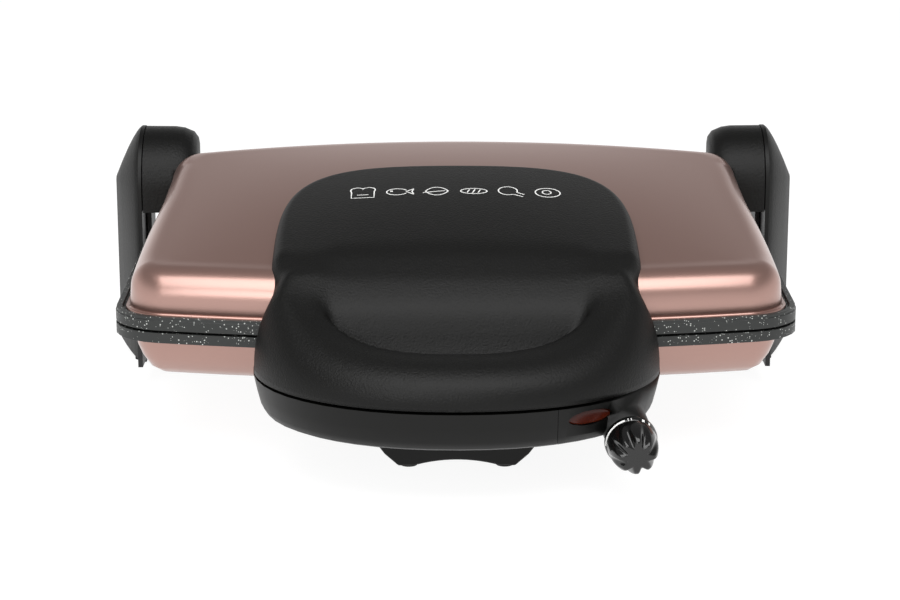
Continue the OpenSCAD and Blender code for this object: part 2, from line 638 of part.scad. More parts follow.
// Hinge arm: an eye on the pin, a web up the tower and a flange behind the lid
arm_t = 3;
arm_x = tower_in - 0.5 - arm_t;
flange_y = plate_rear - 3;
block_low = 102.5;
module web_shape() {
    translate([hinge_y, part_z]) circle(14);
    translate([hinge_y - 12, part_z]) square([24, 62]);
    translate([flange_y, block_low + 2]) square([20, 34]);
}
module hinge_arm() color(black) difference() {
    union() {
        along_x(arm_x, arm_t) web_shape();
        translate([144, flange_y, block_low]) cube([arm_x + arm_t - 144, arm_t, 34]);
    }
    pin_x(arm_x - 1, arm_x + 10, hinge_y, part_z, pin_d / 2 + run_fit);
    for (p = arm_screw_at) pin_y(flange_y - 1, flange_y + 10, p[0], p[1], 2.1);
}
module right_hinge_arm() hinge_arm();
module left_hinge_arm() mirror([1, 0, 0]) hinge_arm();
// Side view of the block, as far back as its rear face
block_rear = 14;
block_end = 167.5;
function block(i, low, n = 14) = let (r = tower_r - i, a = acos((block_rear - i) / r))
    concat([[hinge_y + block_rear - i, low]],
        [for (k = [0:n]) let (b = mix(a, 180, k / n))
            [hinge_y + r * cos(b), tower_h - tower_r + r * sin(b)]],
        [[hinge_y - r, low]]);
module arm_cover() color(black) difference() {
    loft(concat([for (s = [[0, 12], [1, 8], [4, 4], [10, 1.5], [16, 0.6]])
        at_x(block(s[1], block_low + s[1] * 0.3), block_end + s[0])],
        [at_x(block(0.4, block_low), tower_in - 0.6)]));
    loft([at_x(block(8, block_low - 2), block_end + 6),
        at_x(block(wall + 0.4, block_low - 2), block_end + 12),
        at_x(block(wall + 0.4, block_low - 2), arm_x - 0.4 - wall)]);
    lid_body(3, 3);
    along_x(arm_x - 0.3, 10) offset(0.25) web_shape();
    translate([140, flange_y - 1, block_low - 0.3]) cube([70, arm_t + 4.5, 34.6]);
}
module right_arm_cover() arm_cover();
module left_arm_cover() mirror([1, 0, 0]) arm_cover();
lid_wall_y = plate_rear - lid_inset - 2;
module arm_spacers() color(steel) mirror_x() for (p = arm_screw_at) difference() {
    pin_y(lid_wall_y + 0.1, flange_y, p[0], p[1], 4.5);
    pin_y(lid_wall_y - 1, flange_y + 1, p[0], p[1], 2.1);
}
bracket_t = 2.5;
bracket_y = lid_wall_y - sheet_t - 1 - bracket_t;
module lid_brackets() color(steel) mirror_x() difference() {
    translate([141, bracket_y, 99]) cube([22, bracket_t, 32]);
    for (p = arm_screw_at) pin_y(bracket_y - 1, bracket_y + 10, p[0], p[1], 1.95);
}
module arm_screws() color(steel) mirror_x() for (p = arm_screw_at) {
    pin_y(flange_y + arm_t, flange_y + arm_t + 2.5, p[0], p[1], 3.8);
    pin_y(bracket_y - 3, flange_y + arm_t + 0.1, p[0], p[1], 1.9);
}

// Lid
module lid_shell() color(rose) difference() {
    union() {
        translate([0, 0, up_top]) linear_extrude(lid_foot - up_top)
            polygon([for (p = lid_ring(0, flange_w, 6)) [p[0], p[1]]]);
        translate([0, 0, -eps]) lid_body(0);
    }
    lid_body(-sheet_t, 6, 4);
    mirror_x() for (p = arm_screw_at) pin_y(lid_wall_y - 9, lid_wall_y + 5, p[0], p[1], 2.2);
    for (p = handle_screw_at) translate([p[0], p[1], 100]) cylinder(h = 60, r = 2.2);
}

// Handle, hollow over the rim and the front of the lid
module handle_clear(g) {
    translate([0, 0, 40]) linear_extrude(up_top + lip_h + 1.5 - 40)
        polygon(flat_points(rim(-2 - g)));
    lid_body(0.35 + g, g > 0 ? 4 : 6, 10);
}
cover_plate_t = 2;
// The hollow has a coarser grid, so its wall is this much thicker
slack = 1.4;
module handle() color(black) resize([2 * grip_widest, 0, 0]) difference() {
    handle_solid(0, false);
    handle_clear(0);
    difference() { handle_solid(wall + slack, true); handle_clear(wall); }
    translate([0, 0, handle_base - 1]) linear_extrude(1 + cover_plate_t + 0.1)
        difference() { polygon(grip_ring(wall - 0.3, -70)); polygon(flat_points(rim(-2 - wall + 0.3))); }
    for (p = handle_screw_at) translate([p[0], p[1], lid_top(p[0], p[1]) - 5])
        cylinder(h = 8.1, r = 2.3, $fn = 16);
}
module handle_cover() color(black) translate([0, 0, handle_base]) linear_extrude(cover_plate_t)
    difference() { polygon(grip_ring(wall, -70)); polygon(flat_points(rim(-2 - wall))); }
module handle_screws() color(steel) for (p = handle_screw_at) let (z = lid_top(p[0], p[1])) {
    translate([p[0], p[1], z - sheet_t - 3]) cylinder(h = 2, r = 3.4);
    translate([p[0], p[1], z - sheet_t - 1.1]) cylinder(h = sheet_t + 4, r = 1.85);
}

// Electrical parts
module terminal_block() color([0.85, 0.83, 0.78]) translate([gland_x - 22, 60, 0]) difference() {
    translate([0, 0, shell_base + sheet_t + 0.05]) cube([44, 18, 8]);
    for (i = [0:3]) translate([6.5 + i * 10.3, 9, 0]) translate([0, 0, 49]) cylinder(h = 10, r = 2);
}
module thermal_fuse() color(steel) {
    translate([-30, -20, low_sheet_z - 3.2]) rotate([0, 90, 0]) cylinder(h = 24, r = 3);
}
module cord_gland() color(rubber) difference() {
    union() {
        pin_y(shell_rear - 6, shell_rear + 5, gland_x, gland_z, 7);
        pin_y(shell_rear + 4.6, shell_rear + 8, gland_x, gland_z, 10);
    }
    pin_y(shell_rear - 10, shell_rear + 30, gland_x, gland_z, 4);
}
module wire(points, r = 1.2) {
    for (i = [0:len(points) - 2]) let (a = points[i], b = points[i + 1], d = b - a, l = norm(d)) {
        translate(a) rotate([0, acos(d[2] / l), atan2(d[1], d[0])]) cylinder(h = l, r = r);
        translate(b) sphere(r + 0.15);
    }
}
module base_wiring() color(copper) {
    z = shell_base + 3.5;
    wire([[gland_x - 10, 58, 48], [gland_x - 10, 0, z], [40, -60, z + 1], [30, -78, 50],
        [30, -98, 50], [60, -105, 44], [73.7, -123.4, 41.1]]);
    wire([[gland_x + 4, 58, 48], [gland_x + 4, 30, z], [-2, -20, low_sheet_z - 3.2]]);
}

lower_shell();
lower_plate();
lower_heater();
lower_reflector();
bottom_cover();
front_housing();
control_panel();
front_foot();
front_foot_pads();
left_tower_frame();
right_tower_frame();
left_tower_cover();
right_tower_cover();
tower_foot_pads();
rear_crossbar();
thermostat_body();
thermostat_bracket();
indicator_lens();
indicator_lamp();
terminal_block();
thermal_fuse();
cord_gland();
base_wiring();
lower_plate_screws();
bottom_cover_screws();
tower_screws();
left_slider();
right_slider();
left_pivot_pin();
right_pivot_pin();
pivot_clips();
lid_shell();
upper_plate();
upper_heater();
upper_reflector();
handle();
handle_cover();
handle_screws();
left_hinge_arm();
right_hinge_arm();
left_arm_cover();
right_arm_cover();
arm_spacers();
lid_brackets();
arm_screws();
upper_plate_screws();
knob();
knob_shaft();
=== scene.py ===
import json
import math

import bmesh
import bpy
from mathutils import Matrix, Vector

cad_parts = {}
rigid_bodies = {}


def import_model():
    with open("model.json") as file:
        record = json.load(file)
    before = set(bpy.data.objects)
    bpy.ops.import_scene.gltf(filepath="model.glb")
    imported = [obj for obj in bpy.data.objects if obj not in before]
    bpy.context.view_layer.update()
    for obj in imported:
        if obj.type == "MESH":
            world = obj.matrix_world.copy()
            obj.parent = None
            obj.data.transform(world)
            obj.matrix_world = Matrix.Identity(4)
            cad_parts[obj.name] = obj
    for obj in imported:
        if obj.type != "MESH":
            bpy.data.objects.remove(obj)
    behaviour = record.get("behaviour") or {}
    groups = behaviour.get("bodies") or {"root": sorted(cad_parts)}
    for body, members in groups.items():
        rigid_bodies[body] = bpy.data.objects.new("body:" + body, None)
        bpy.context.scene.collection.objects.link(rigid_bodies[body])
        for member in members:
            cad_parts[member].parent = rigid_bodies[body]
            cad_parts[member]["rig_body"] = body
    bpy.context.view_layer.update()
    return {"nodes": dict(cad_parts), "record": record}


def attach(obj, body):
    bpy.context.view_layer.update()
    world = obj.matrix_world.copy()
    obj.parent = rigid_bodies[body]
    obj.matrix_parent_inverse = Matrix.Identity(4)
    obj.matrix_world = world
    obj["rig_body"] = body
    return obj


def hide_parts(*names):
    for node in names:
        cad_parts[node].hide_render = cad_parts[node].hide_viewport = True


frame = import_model()
nodes = frame["nodes"]

# Driving sizes in millimetres, as in the CAD source
HALF_W = 201
PLATE_FRONT, PLATE_REAR = 90, 131
FRONT_BOW, BOW_REF = 14, 150
LID_INSET, LID_FOOT, UP_TOP, FLANGE_W = 8, 85.45, 84.25, 2.5
LID_FRONT_H, LID_SLOPE, LID_CROWN = 107, 0.18, 13
FOLD_FRONT, FOLD_SIDE, FOLD_REAR = 19, 15, 12
SHEET_T = 1.6
GRIP_HALF, GRIP_REACH, GRIP_Y, HANDLE_REAR = 118, 94, -90, 53
GRIP_CREST, HORN_TOP, SCOOP_FLOOR, HANDLE_BASE, NECK = 83, 113, 64, 59.3, 10.5
CREST_Q, SIDE_CREST_Q, SCOOP_Q, SCOOP_BACK = 0.72, 0.86, 0.62, -115
FRONT_POWER, REAR_POWER, NECK_FROM, NECK_RUN = 2.15, 4, -108, 24
BOWL_RISE, BOWL_RUN, RAMP_SLOPE = 30, 5, 0.7
RIM_CLEAR_Z = 87.75
WALL = 2.6
KNOB_R, KNOB_L, SKIRT_H, GRIP_R, FLUTES = 15, 22, 4, 14.2, 8
SKIRT_BEVEL_Z, DOME_L, FLUTE_DEPTH = 2.2, 24, 3.2
KNOB_AXIS = Matrix.Translation((96.5, -157.5, 34.7)) @ Matrix.Rotation(math.radians(7), 4, "Z") \
    @ Matrix.Rotation(math.radians(100), 4, "X")
LENS_AXIS = Matrix.Translation((72.5, -161.2, 50)) @ Matrix.Rotation(math.radians(31), 4, "Z") \
    @ Matrix.Rotation(math.radians(90), 4, "X")


def clamp(v, low, high):
    return min(max(v, low), high)


def mix(a, b, t):
    return a + (b - a) * t


def smooth(t):
    t = clamp(t, 0, 1)
    return t * t * (3 - 2 * t)


# Materials


def linear(code, alpha=1.0):
    """An sRGB hex colour as linear light."""
    parts = [int(code[i:i + 2], 16) / 255 for i in (1, 3, 5)]
    return [p / 12.92 if p <= 0.04045 else ((p + 0.055) / 1.055) ** 2.4 for p in parts] + [alpha]


def add(tree, kind, settings=None, inputs=None):
    """Adds a node, with its settings, and its inputs set or linked."""
    made = tree.nodes.new(kind)
    for key, value in (settings or {}).items():
        setattr(made, key, value)
    for key, value in (inputs or {}).items():
        if isinstance(value, bpy.types.NodeSocket):
            tree.links.new(value, made.inputs[key])
        else:
            made.inputs[key].default_value = value
    return made


def finish_of(name, build, **sockets):
    """A material whose surface has these socket values; build adds its pattern."""
    material = bpy.data.materials.new(name)
    material.use_nodes = True
    tree = material.node_tree
    surface = tree.nodes["Principled BSDF"]
    for key, value in sockets.items():
        surface.inputs[key.replace("_", " ")].default_value = value
    if build:
        build(tree, surface)
    return material


def grain(size_mm, height_mm, strength):
    """A fine all-over relief of that grain size."""
    def build(tree, surface):
        place = add(tree, "ShaderNodeTexCoord").outputs["Object"]
        bumps = add(tree, "ShaderNodeTexNoise", None,
                    {"Vector": place, "Scale": 1000 / size_mm, "Detail": 2.0, "Roughness": 0.6})
        relief = add(tree, "ShaderNodeBump", None,
                     {"Height": bumps.outputs["Fac"], "Distance": height_mm / 1000,
                      "Strength": strength})
        tree.links.new(relief.outputs["Normal"], surface.inputs["Normal"])
    return build


def flakes(tree, surface):
    """Metal flakes in the paint, drawn at 0.7 mm so that they show."""
    place = add(tree, "ShaderNodeTexCoord").outputs["Object"]
    flake = add(tree, "ShaderNodeTexNoise", None,
                {"Vector": place, "Scale": 1400.0, "Detail": 1.0, "Roughness": 0.5})
    relief = add(tree, "ShaderNodeBump", None,
                 {"Height": flake.outputs["Fac"], "Distance": 0.00003, "Strength": 0.35})
    tree.links.new(relief.outputs["Normal"], surface.inputs["Normal"])


def specks(tree, surface):
    """White mineral specks of up to 0.9 mm in a dark coating."""
    place = add(tree, "ShaderNodeTexCoord").outputs["Object"]
    cells = add(tree, "ShaderNodeTexVoronoi", {"feature": "F1"},
                {"Vector": place, "Scale": 850.0, "Randomness": 1.0})
    chosen = add(tree, "ShaderNodeSeparateColor", None, {"Color": cells.outputs["Color"]})
    size = add(tree, "ShaderNodeMapRange", None,
               {"Value": chosen.outputs["Red"], "From Min": 0.6, "From Max": 1.0,
                "To Min": 0.0, "To Max": 0.4})
    inside = add(tree, "ShaderNodeMath", {"operation": "LESS_THAN"},
                 {0: cells.outputs["Distance"], 1: size.outputs["Result"]})
    tone = add(tree, "ShaderNodeMix", {"data_type": "RGBA"},
               {"Factor": inside.outputs["Value"], "A": linear("#232524"), "B": linear("#b9bcb8")})
    tree.links.new(tone.outputs["Result"], surface.inputs["Base Color"])
    relief = add(tree, "ShaderNodeBump", None,
                 {"Height": inside.outputs["Value"], "Distance": 0.00004, "Strength": 0.4})
    tree.links.new(relief.outputs["Normal"], surface.inputs["Normal"])


def lit_edge(tree, surface):
    """Deep red face on, orange where the surface turns away."""
    turned = add(tree, "ShaderNodeLayerWeight", None, {"Blend": 0.18})
    tone = add(tree, "ShaderNodeMix", {"data_type": "RGBA"},
               {"Factor": turned.outputs["Facing"], "A": linear("#2c0907"), "B": linear("#a04424")})
    tree.links.new(tone.outputs["Result"], surface.inputs["Base Color"])


# Stoved metallic enamel on pressed steel: rose-brown, satin, with a clear coat over the flakes
rose_enamel = finish_of("rose_metallic_enamel", flakes, Base_Color=linear("#ae8a80"), Metallic=0.85,
                        Roughness=0.3, Coat_Weight=0.6, Coat_Roughness=0.16)
# PTFE coating with mineral specks on die-cast aluminium: dark, slightly rough
granite_ptfe = finish_of("speckled_nonstick_coating", specks, Base_Color=linear("#232524"),
                         Roughness=0.42)
# Phenolic or nylon moulding with an eroded mould texture: black, matt sheen; the grain of about
# half a millimetre is drawn at 1.3 mm so that it shows
grained_moulding = finish_of("grained_black_moulding", grain(1.3, 0.3, 0.9),
                             Base_Color=linear("#080807"), Roughness=0.45,
                             Specular_IOR_Level=0.24)
# The same plastic where the mould is finer
fine_moulding = finish_of("fine_black_moulding", grain(0.6, 0.03, 0.3),
                          Base_Color=linear("#0a0a09"), Roughness=0.42, Specular_IOR_Level=0.26)
# Polished ABS: deep black with sharp reflections
polished_abs = finish_of("polished_black_abs", None, Base_Color=linear("#090909"), Roughness=0.14,
                         Coat_Weight=0.3, Coat_Roughness=0.05)
# Clear red acrylic over a dark lamp hole, lighter where its edge gathers the light
red_acrylic = finish_of("red_acrylic", lit_edge, Roughness=0.22,
                        Specular_IOR_Level=0.3)
# Zinc-plated steel: cool grey, satin
zinc_steel = finish_of("zinc_plated_steel", None, Base_Color=linear("#b8bbbd"), Metallic=1.0,
                       Roughness=0.3)
# Rolled aluminium sheet: pale, softly reflecting
aluminium_sheet = finish_of("rolled_aluminium", None, Base_Color=linear("#d2d4d6"), Metallic=1.0,
                            Roughness=0.38)
# Polyester powder coat on steel: black with a slight orange peel
powder_coat = finish_of("black_powder_coat", grain(1.4, 0.02, 0.25), Base_Color=linear("#171717"),
                        Roughness=0.5)
# Moulded nitrile rubber: dull black
nitrile = finish_of("black_rubber", None, Base_Color=linear("#161616"), Roughness=0.8)
# Neon lamp glass
lamp_glass = finish_of("lamp_glass", None, Base_Color=linear("#d98a4a"), Roughness=0.1)
# Glazed steatite: off-white, glossy
steatite = finish_of("glazed_steatite", None, Base_Color=linear("#dcd8cc"), Roughness=0.35)
# Braided glass sleeve: rust brown
glass_sleeve = finish_of("braided_glass_sleeve", None, Base_Color=linear("#8d4a35"), Roughness=0.8)
# White pad-printing ink
white_ink = finish_of("white_print", None, Base_Color=linear("#e8e8e6"), Roughness=0.55)

SLOT_FINISH = {
    "rose_paint": rose_enamel, "granite_coating": granite_ptfe, "black_plastic": fine_moulding,
    "gloss_black": polished_abs, "black_paint": powder_coat, "bright_steel": zinc_steel,
    "aluminium_sheet": aluminium_sheet, "rubber": nitrile, "red_lens": red_acrylic,
    "lamp_glass": lamp_glass, "ceramic": steatite, "wire_sleeve": glass_sleeve}
slot_of = {s["node"]: s["material_slot"] for s in frame["record"]["subparts"]}


# Making pieces


def piece(name, bm, material, body, replaced=(), sharp_deg=32):
    """A finished piece from a bmesh in millimetres, riding on a body."""
    bmesh.ops.scale(bm, vec=(0.001, 0.001, 0.001), verts=bm.verts)
    mesh = bpy.data.meshes.new(name)
    bm.to_mesh(mesh)
    bm.free()
    mesh.shade_smooth()
    mesh.set_sharp_from_angle(angle=math.radians(sharp_deg))
    mesh.materials.append(material)
    made = bpy.data.objects.new(name, mesh)
    bpy.context.scene.collection.objects.link(made)
    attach(made, body)
    if replaced:
        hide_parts(*replaced)
    return made


def skin(rows, closed=True):
    """A grid bent over rows of points; closed rows meet in a seam that is merged."""
    bm = bmesh.new()
    count = len(rows[0])
    across = count if closed else count - 1
    bmesh.ops.create_grid(bm, x_segments=across, y_segments=len(rows) - 1, size=1)
    for v in bm.verts:
        i = round((v.co.x + 1) / 2 * across)
        j = round((v.co.y + 1) / 2 * (len(rows) - 1))
        v.co = Vector(rows[j][i % count])
    bmesh.ops.remove_doubles(bm, verts=bm.verts, dist=1e-3)
    return bm


def outward(bm):
    bmesh.ops.recalc_face_normals(bm, faces=bm.faces)
    return bm


def pan(w, front, rear, r_front, r_rear, n):
    """The plates' rounded outline, bowed forward at the middle of its front: x, y and outward normal."""
    half = [((w - r_front) * i / n, front, 0, -1) for i in range(n + 1)]
    for i in range(1, n + 1):
        a = math.radians(-90 + 90 * i / n)
        c, s = math.cos(a), math.sin(a)
        half.append((w - r_front + r_front * c, front + r_front + r_front * s, c, s))
    half += [(w, mix(front + r_front, rear - r_rear, i / n), 1, 0) for i in range(1, n + 1)]
    for i in range(1, n + 1):
        a = math.radians(90 * i / n)
        c, s = math.cos(a), math.sin(a)
        half.append((w - r_rear + r_rear * c, rear - r_rear + r_rear * s, c, s))
    half += [((w - r_rear) * (1 - i / n), rear, 0, 1) for i in range(1, n + 1)]
    bowed = [(x, y - FRONT_BOW * (1 - (x / BOW_REF) ** 2) * clamp(y / front, 0, 1), nx, ny)
             for x, y, nx, ny in half]
    return bowed + [(-x, y, -nx, ny) for x, y, nx, ny in bowed[-2:0:-1]]


# Lid: a pressed dome with a thin flange round its foot


def lid_top(x, y):
    return LID_FRONT_H + LID_SLOPE * (y + 82) \
        + (LID_CROWN - 10 * ((y - 35) / 117) ** 2) * (1 - (x / 180) ** 2)


def fold_inset(h, r, d):
    return r * math.cos(d) + (h - r + r * math.sin(d)) * math.tan(d)


def lid_ring(t, g, n):
    ring = []
    for x, y, px, ny in pan(HALF_W - LID_INSET, -PLATE_FRONT + LID_INSET + 1,
                            PLATE_REAR - LID_INSET - 2, 22, 30, n):
        nx = abs(px)
        d = math.radians(nx * nx * (2 + 14 * clamp((y + 82) / 130, 0, 1))
                         + ny * ny * (-4 if ny < 0 else 1))
        r = nx * nx * FOLD_SIDE + ny * ny * (FOLD_FRONT if ny < 0 else FOLD_REAR)
        h0 = lid_top(x - px * 20, y - ny * 16) - LID_FOOT
        s0 = fold_inset(h0, r, d)
        h = lid_top(x - px * s0, y - ny * s0) - LID_FOOT
        s1 = fold_inset(h, r, d)
        a = d + (math.pi / 2 - d) * max(t - 1, 0)
        if t <= 1:
            z = (h - r + r * math.sin(d)) * t
            s = z * math.tan(d) - g
            lift = 0
        else:
            z = h - r + r * math.sin(a)
            s = s1 - r * math.cos(a) - g * math.cos(a)
            lift = g * math.sin(a)
        ring.append((x - px * s, y - ny * s, LID_FOOT + z + lift))
    return ring


def lid_skin(g, n):
    steps = [0, 0.25, 0.5, 0.75, 1] + [1 + i / 9 for i in range(1, 9)]
    rows = [lid_ring(t, g, n) for t in steps]
    edge = lid_ring(2, 0, n)
    for t in (0, 0.04, 0.1, 0.2, 0.32, 0.46, 0.6, 0.74, 0.88, 0.97):
        row = [(mix(x, 0, t), mix(y, 20, t)) for x, y, _ in edge]
        rows.append([(x, y, lid_top(x, y) + g) for x, y in row])
    return rows


def build_lid():
    n = 12
    outer, inner = lid_skin(0, n), lid_skin(-SHEET_T, n)
    foot = lid_ring(0, 0, n)
    rim_out = lid_ring(0, FLANGE_W, n)
    inner_foot = lid_ring(0, -SHEET_T, n)
    low, mid, high = UP_TOP, (UP_TOP + LID_FOOT) / 2, LID_FOOT
    near = lid_ring(0, FLANGE_W - 0.35, n)
    flange = [[(x, y, low) for x, y, _ in inner_foot], [(x, y, low) for x, y, _ in near],
              [(x, y, mid) for x, y, _ in rim_out], [(x, y, high) for x, y, _ in near],
              [(x, y, high) for x, y, _ in lid_ring(0, 0.5, n)],
              [(x, y, high + 0.5) for x, y, _ in foot]]
    rows = inner[::-1] + flange + outer[1:]
    bm = skin(rows)
    bmesh.ops.holes_fill(bm, edges=bm.edges, sides=0)
    piece("lid_pressing", outward(bm), rose_enamel, "lid", ["lid_shell"], 40)


# Handle: a moulding with two horns, a finger scoop and a rounded grip bar


def grip_t(y):
    return clamp((y - GRIP_Y) / (HANDLE_REAR - GRIP_Y), 0, 1)


def grip_span(y):
    return mix(GRIP_HALF, GRIP_HALF - NECK, smooth((y - NECK_FROM) / NECK_RUN))


def grip_w(y):
    if y < GRIP_Y:
        along = (GRIP_Y - y) / GRIP_REACH
        return grip_span(y) * max(1 - along ** FRONT_POWER, 0) ** (1 / FRONT_POWER)
    return grip_span(y) * max(1 - grip_t(y) ** REAR_POWER, 0) ** (1 / REAR_POWER)


def grip_q(x, y):
    across = abs(x) / grip_span(y)
    if y < GRIP_Y:
        along = (GRIP_Y - y) / GRIP_REACH
        return (across ** FRONT_POWER + along ** FRONT_POWER) ** (1 / FRONT_POWER)
    return (across ** REAR_POWER + grip_t(y) ** REAR_POWER) ** (1 / REAR_POWER)


def smin(a, b, k):
    h = max(k - abs(a - b), 0) / k
    return min(a, b) - h * h * k / 4


def handle_top(x, y):
    q0 = grip_q(x, y)
    q = min(q0, 1)
    u = clamp((GRIP_Y - y) / GRIP_REACH / max(q0, SCOOP_Q), 0, 1)
    crest = HORN_TOP - (HORN_TOP - GRIP_CREST) * (1 - (1 - u) ** 1.6)
    low = HANDLE_BASE + 3
    top_q = mix(SIDE_CREST_Q, CREST_Q, u)
    flank = 1 if q < top_q else max(1 - ((q - top_q) / (1 - top_q)) ** 1.9, 0) ** 0.5
    front = low + (crest - low) * flank
    proud = mix(10, 3, grip_t(y))
    edge, round_r = (1 - q) * 115, proud - 0.8
    rounding = round_r - math.sqrt(max(round_r ** 2 - (round_r - max(edge, 0)) ** 2, 0)) \
        if edge < round_r else 0
    plate = lid_top(x, y) + proud - rounding
    outer = mix(front, plate, smooth((y + 104) / 34))
    d1, d2 = (q0 - SCOOP_Q) * 200, y - SCOOP_BACK
    d = math.hypot(max(d1, 0), max(d2, 0)) + min(max(d1, d2), 0)
    e = (d + math.sqrt(d * d + 9)) / 2
    bowl = SCOOP_FLOOR + BOWL_RISE * (1 - math.exp(-e / BOWL_RUN)) + RAMP_SLOPE * e
    return smin(outer, bowl, 8)


def handle_foot(x, y):
    """Where the handle's wall ends: on the housing, over the plate's lip or on the lid."""
    bow = FRONT_BOW * (1 - (x / BOW_REF) ** 2)
    if y < -PLATE_FRONT - 2 - bow:
        return HANDLE_BASE
    depth = y - (-PLATE_FRONT + LID_INSET + 1 - bow * 0.9)
    if depth < 0:
        return RIM_CLEAR_Z
    top = lid_top(x, y)
    fold = FOLD_FRONT - math.sqrt(max(FOLD_FRONT ** 2 - max(FOLD_FRONT - depth, 0) ** 2, 0))
    return max(top - fold + 0.35, RIM_CLEAR_Z)


def build_handle():
    across, front_rows, rear_rows = 72, 46, 54
    ys = [GRIP_Y - GRIP_REACH * math.sin(math.radians(89.3 * (1 - i / front_rows)))
          for i in range(front_rows)]
    ys += [GRIP_Y + (HANDLE_REAR - GRIP_Y) * math.sin(math.radians(89 * i / rear_rows))
           for i in range(rear_rows + 1)]
    rows = []
    for y in ys:
        w = grip_w(y)
        xs = [w * math.sin(math.pi / 2 * (2 * i / across - 1)) for i in range(across + 1)]
        rows.append([(x, y, handle_top(x, y)) for x in xs])
    bm = skin(rows, closed=False)
    border = [e for e in bm.edges if e.is_boundary]
    made = bmesh.ops.extrude_edge_only(bm, edges=border)["geom"]
    for v in (g for g in made if isinstance(g, bmesh.types.BMVert)):
        v.co.z = min(handle_foot(v.co.x, v.co.y), v.co.z - 0.2)
    outward(bm)
    if sum(f.normal.z * f.calc_area() for f in bm.faces) < 0:
        bmesh.ops.reverse_faces(bm, faces=bm.faces)
    made = piece("handle_moulding", bm, grained_moulding, "lid", ["handle"], 50)
    wall = made.modifiers.new("wall", "SOLIDIFY")
    wall.thickness, wall.offset = WALL * 0.001, -1
    return made


def strip(bm, path, width, place):
    """A ribbon along a path, set on a surface by place(x, y)."""
    path = [Vector(p) for p in path]
    last = len(path) - 1
    closed = (path[0] - path[last]).length < 1e-6
    made = bmesh.ops.create_grid(bm, x_segments=last, y_segments=1, size=1)["verts"]
    for v in made:
        i = round((v.co.x + 1) / 2 * last)
        before = path[last - 1] if closed and i == 0 else path[max(i - 1, 0)]
        after = path[1] if closed and i == last else path[min(i + 1, last)]
        along = (after - before).normalized()
        side = width / 2 * (1 if v.co.y > 0 else -1)
        v.co = Vector(place(path[i].x - along.y * side, path[i].y + along.x * side))


def oval(x, y, a, b, start=0, end=360, n=28):
    return [(x + a * math.cos(math.radians(mix(start, end, i / n))),
             y + b * math.sin(math.radians(mix(start, end, i / n)))) for i in range(n + 1)]


def closed_line(points, n=4):
    """A closed line through corners, divided so that it follows a curved surface."""
    out = []
    for i, a in enumerate(points):
        b = points[(i + 1) % len(points)]
        out += [(mix(a[0], b[0], k / n), mix(a[1], b[1], k / n)) for k in range(n)]
    return out + [points[0]]


def line(a, b, n=5):
    return [(mix(a[0], b[0], k / n), mix(a[1], b[1], k / n)) for k in range(n + 1)]


# Six food motifs in white, each about 17 by 18 mm: bread, fish, leaf, sausage, cutlet, egg
MOTIFS = [
    [oval(-3, 3, 3.5, 2.6, 20, 200) + [(-6, 1), (-6, -5), (6, -5), (6, 1)]
     + oval(3, 3, 3.5, 2.6, -20, 160),
     line((-3, -2), (3, -2))],
    [oval(-1.5, 0, 5.5, 3.2, 25, 335), closed_line([(3.4, 0), (7.5, 3), (6.4, 0), (7.5, -3)], 3),
     oval(-4.4, 0.8, 0.5, 0.5, n=12)],
    [oval(0, -4.5, 7, 8.5, 30, 150), oval(0, 4.5, 7, 8.5, 210, 330), line((-7.4, -1.4), (4.5, 0.4))],
    [oval(0, 0, 7, 2.7), line((-3.6, -1.6), (-2.2, 1.6)), line((-0.7, -1.8), (0.7, 1.8)),
     line((2.2, -1.6), (3.6, 1.6))],
    [oval(-1.5, 0.8, 5, 4.2, -20, 300), line((1.2, -2.8), (6.4, -5), 4),
     line((3.2, -0.6), (7, -2.8), 4)],
    [oval(0, 0, 6.6, 4.6), oval(-0.5, 0.3, 2.3, 2, n=18)]]
MOTIF_PITCH, MOTIF_Y = 22.5, 6


def build_motifs():
    bm = bmesh.new()
    for i, motif in enumerate(MOTIFS):
        x0 = (i - 2.5) * MOTIF_PITCH
        for path in motif:
            strip(bm, [(x0 + 1.15 * x, MOTIF_Y + 1.5 * y) for x, y in path], 0.8,
                  lambda x, y: (x, y, handle_top(x, y) + 0.12))
    for f in bm.faces:
        f.normal_update()
    bmesh.ops.reverse_faces(bm, faces=[f for f in bm.faces if f.normal.z < 0])
    piece("food_motifs", bm, white_ink, "lid")


# Knob: a skirt and a fluted grip, drawn on its own axis


def knob_r(z, turn):
    """Radius of the domed grip; its flutes widen and deepen towards its end."""
    r = GRIP_R * math.sqrt(1 - ((z - SKIRT_H) / DOME_L) ** 2.2)
    phi = abs((turn + 180 / FLUTES) % (360 / FLUTES) - 180 / FLUTES)
    run = clamp((z - 6) / (KNOB_L - 6), 0, 1)
    wave = 0.5 + 0.5 * math.cos(math.pi * min(phi / mix(9, 20, run), 1))
    return r - FLUTE_DEPTH * smooth(run) * wave


def on_skirt(x, y):
    """The skirt's bevelled face, just above it."""
    down = (math.hypot(x, y) - GRIP_R) / (KNOB_R - GRIP_R)
    return x, y, mix(SKIRT_H, SKIRT_BEVEL_Z, clamp(down, 0, 1)) + 0.06


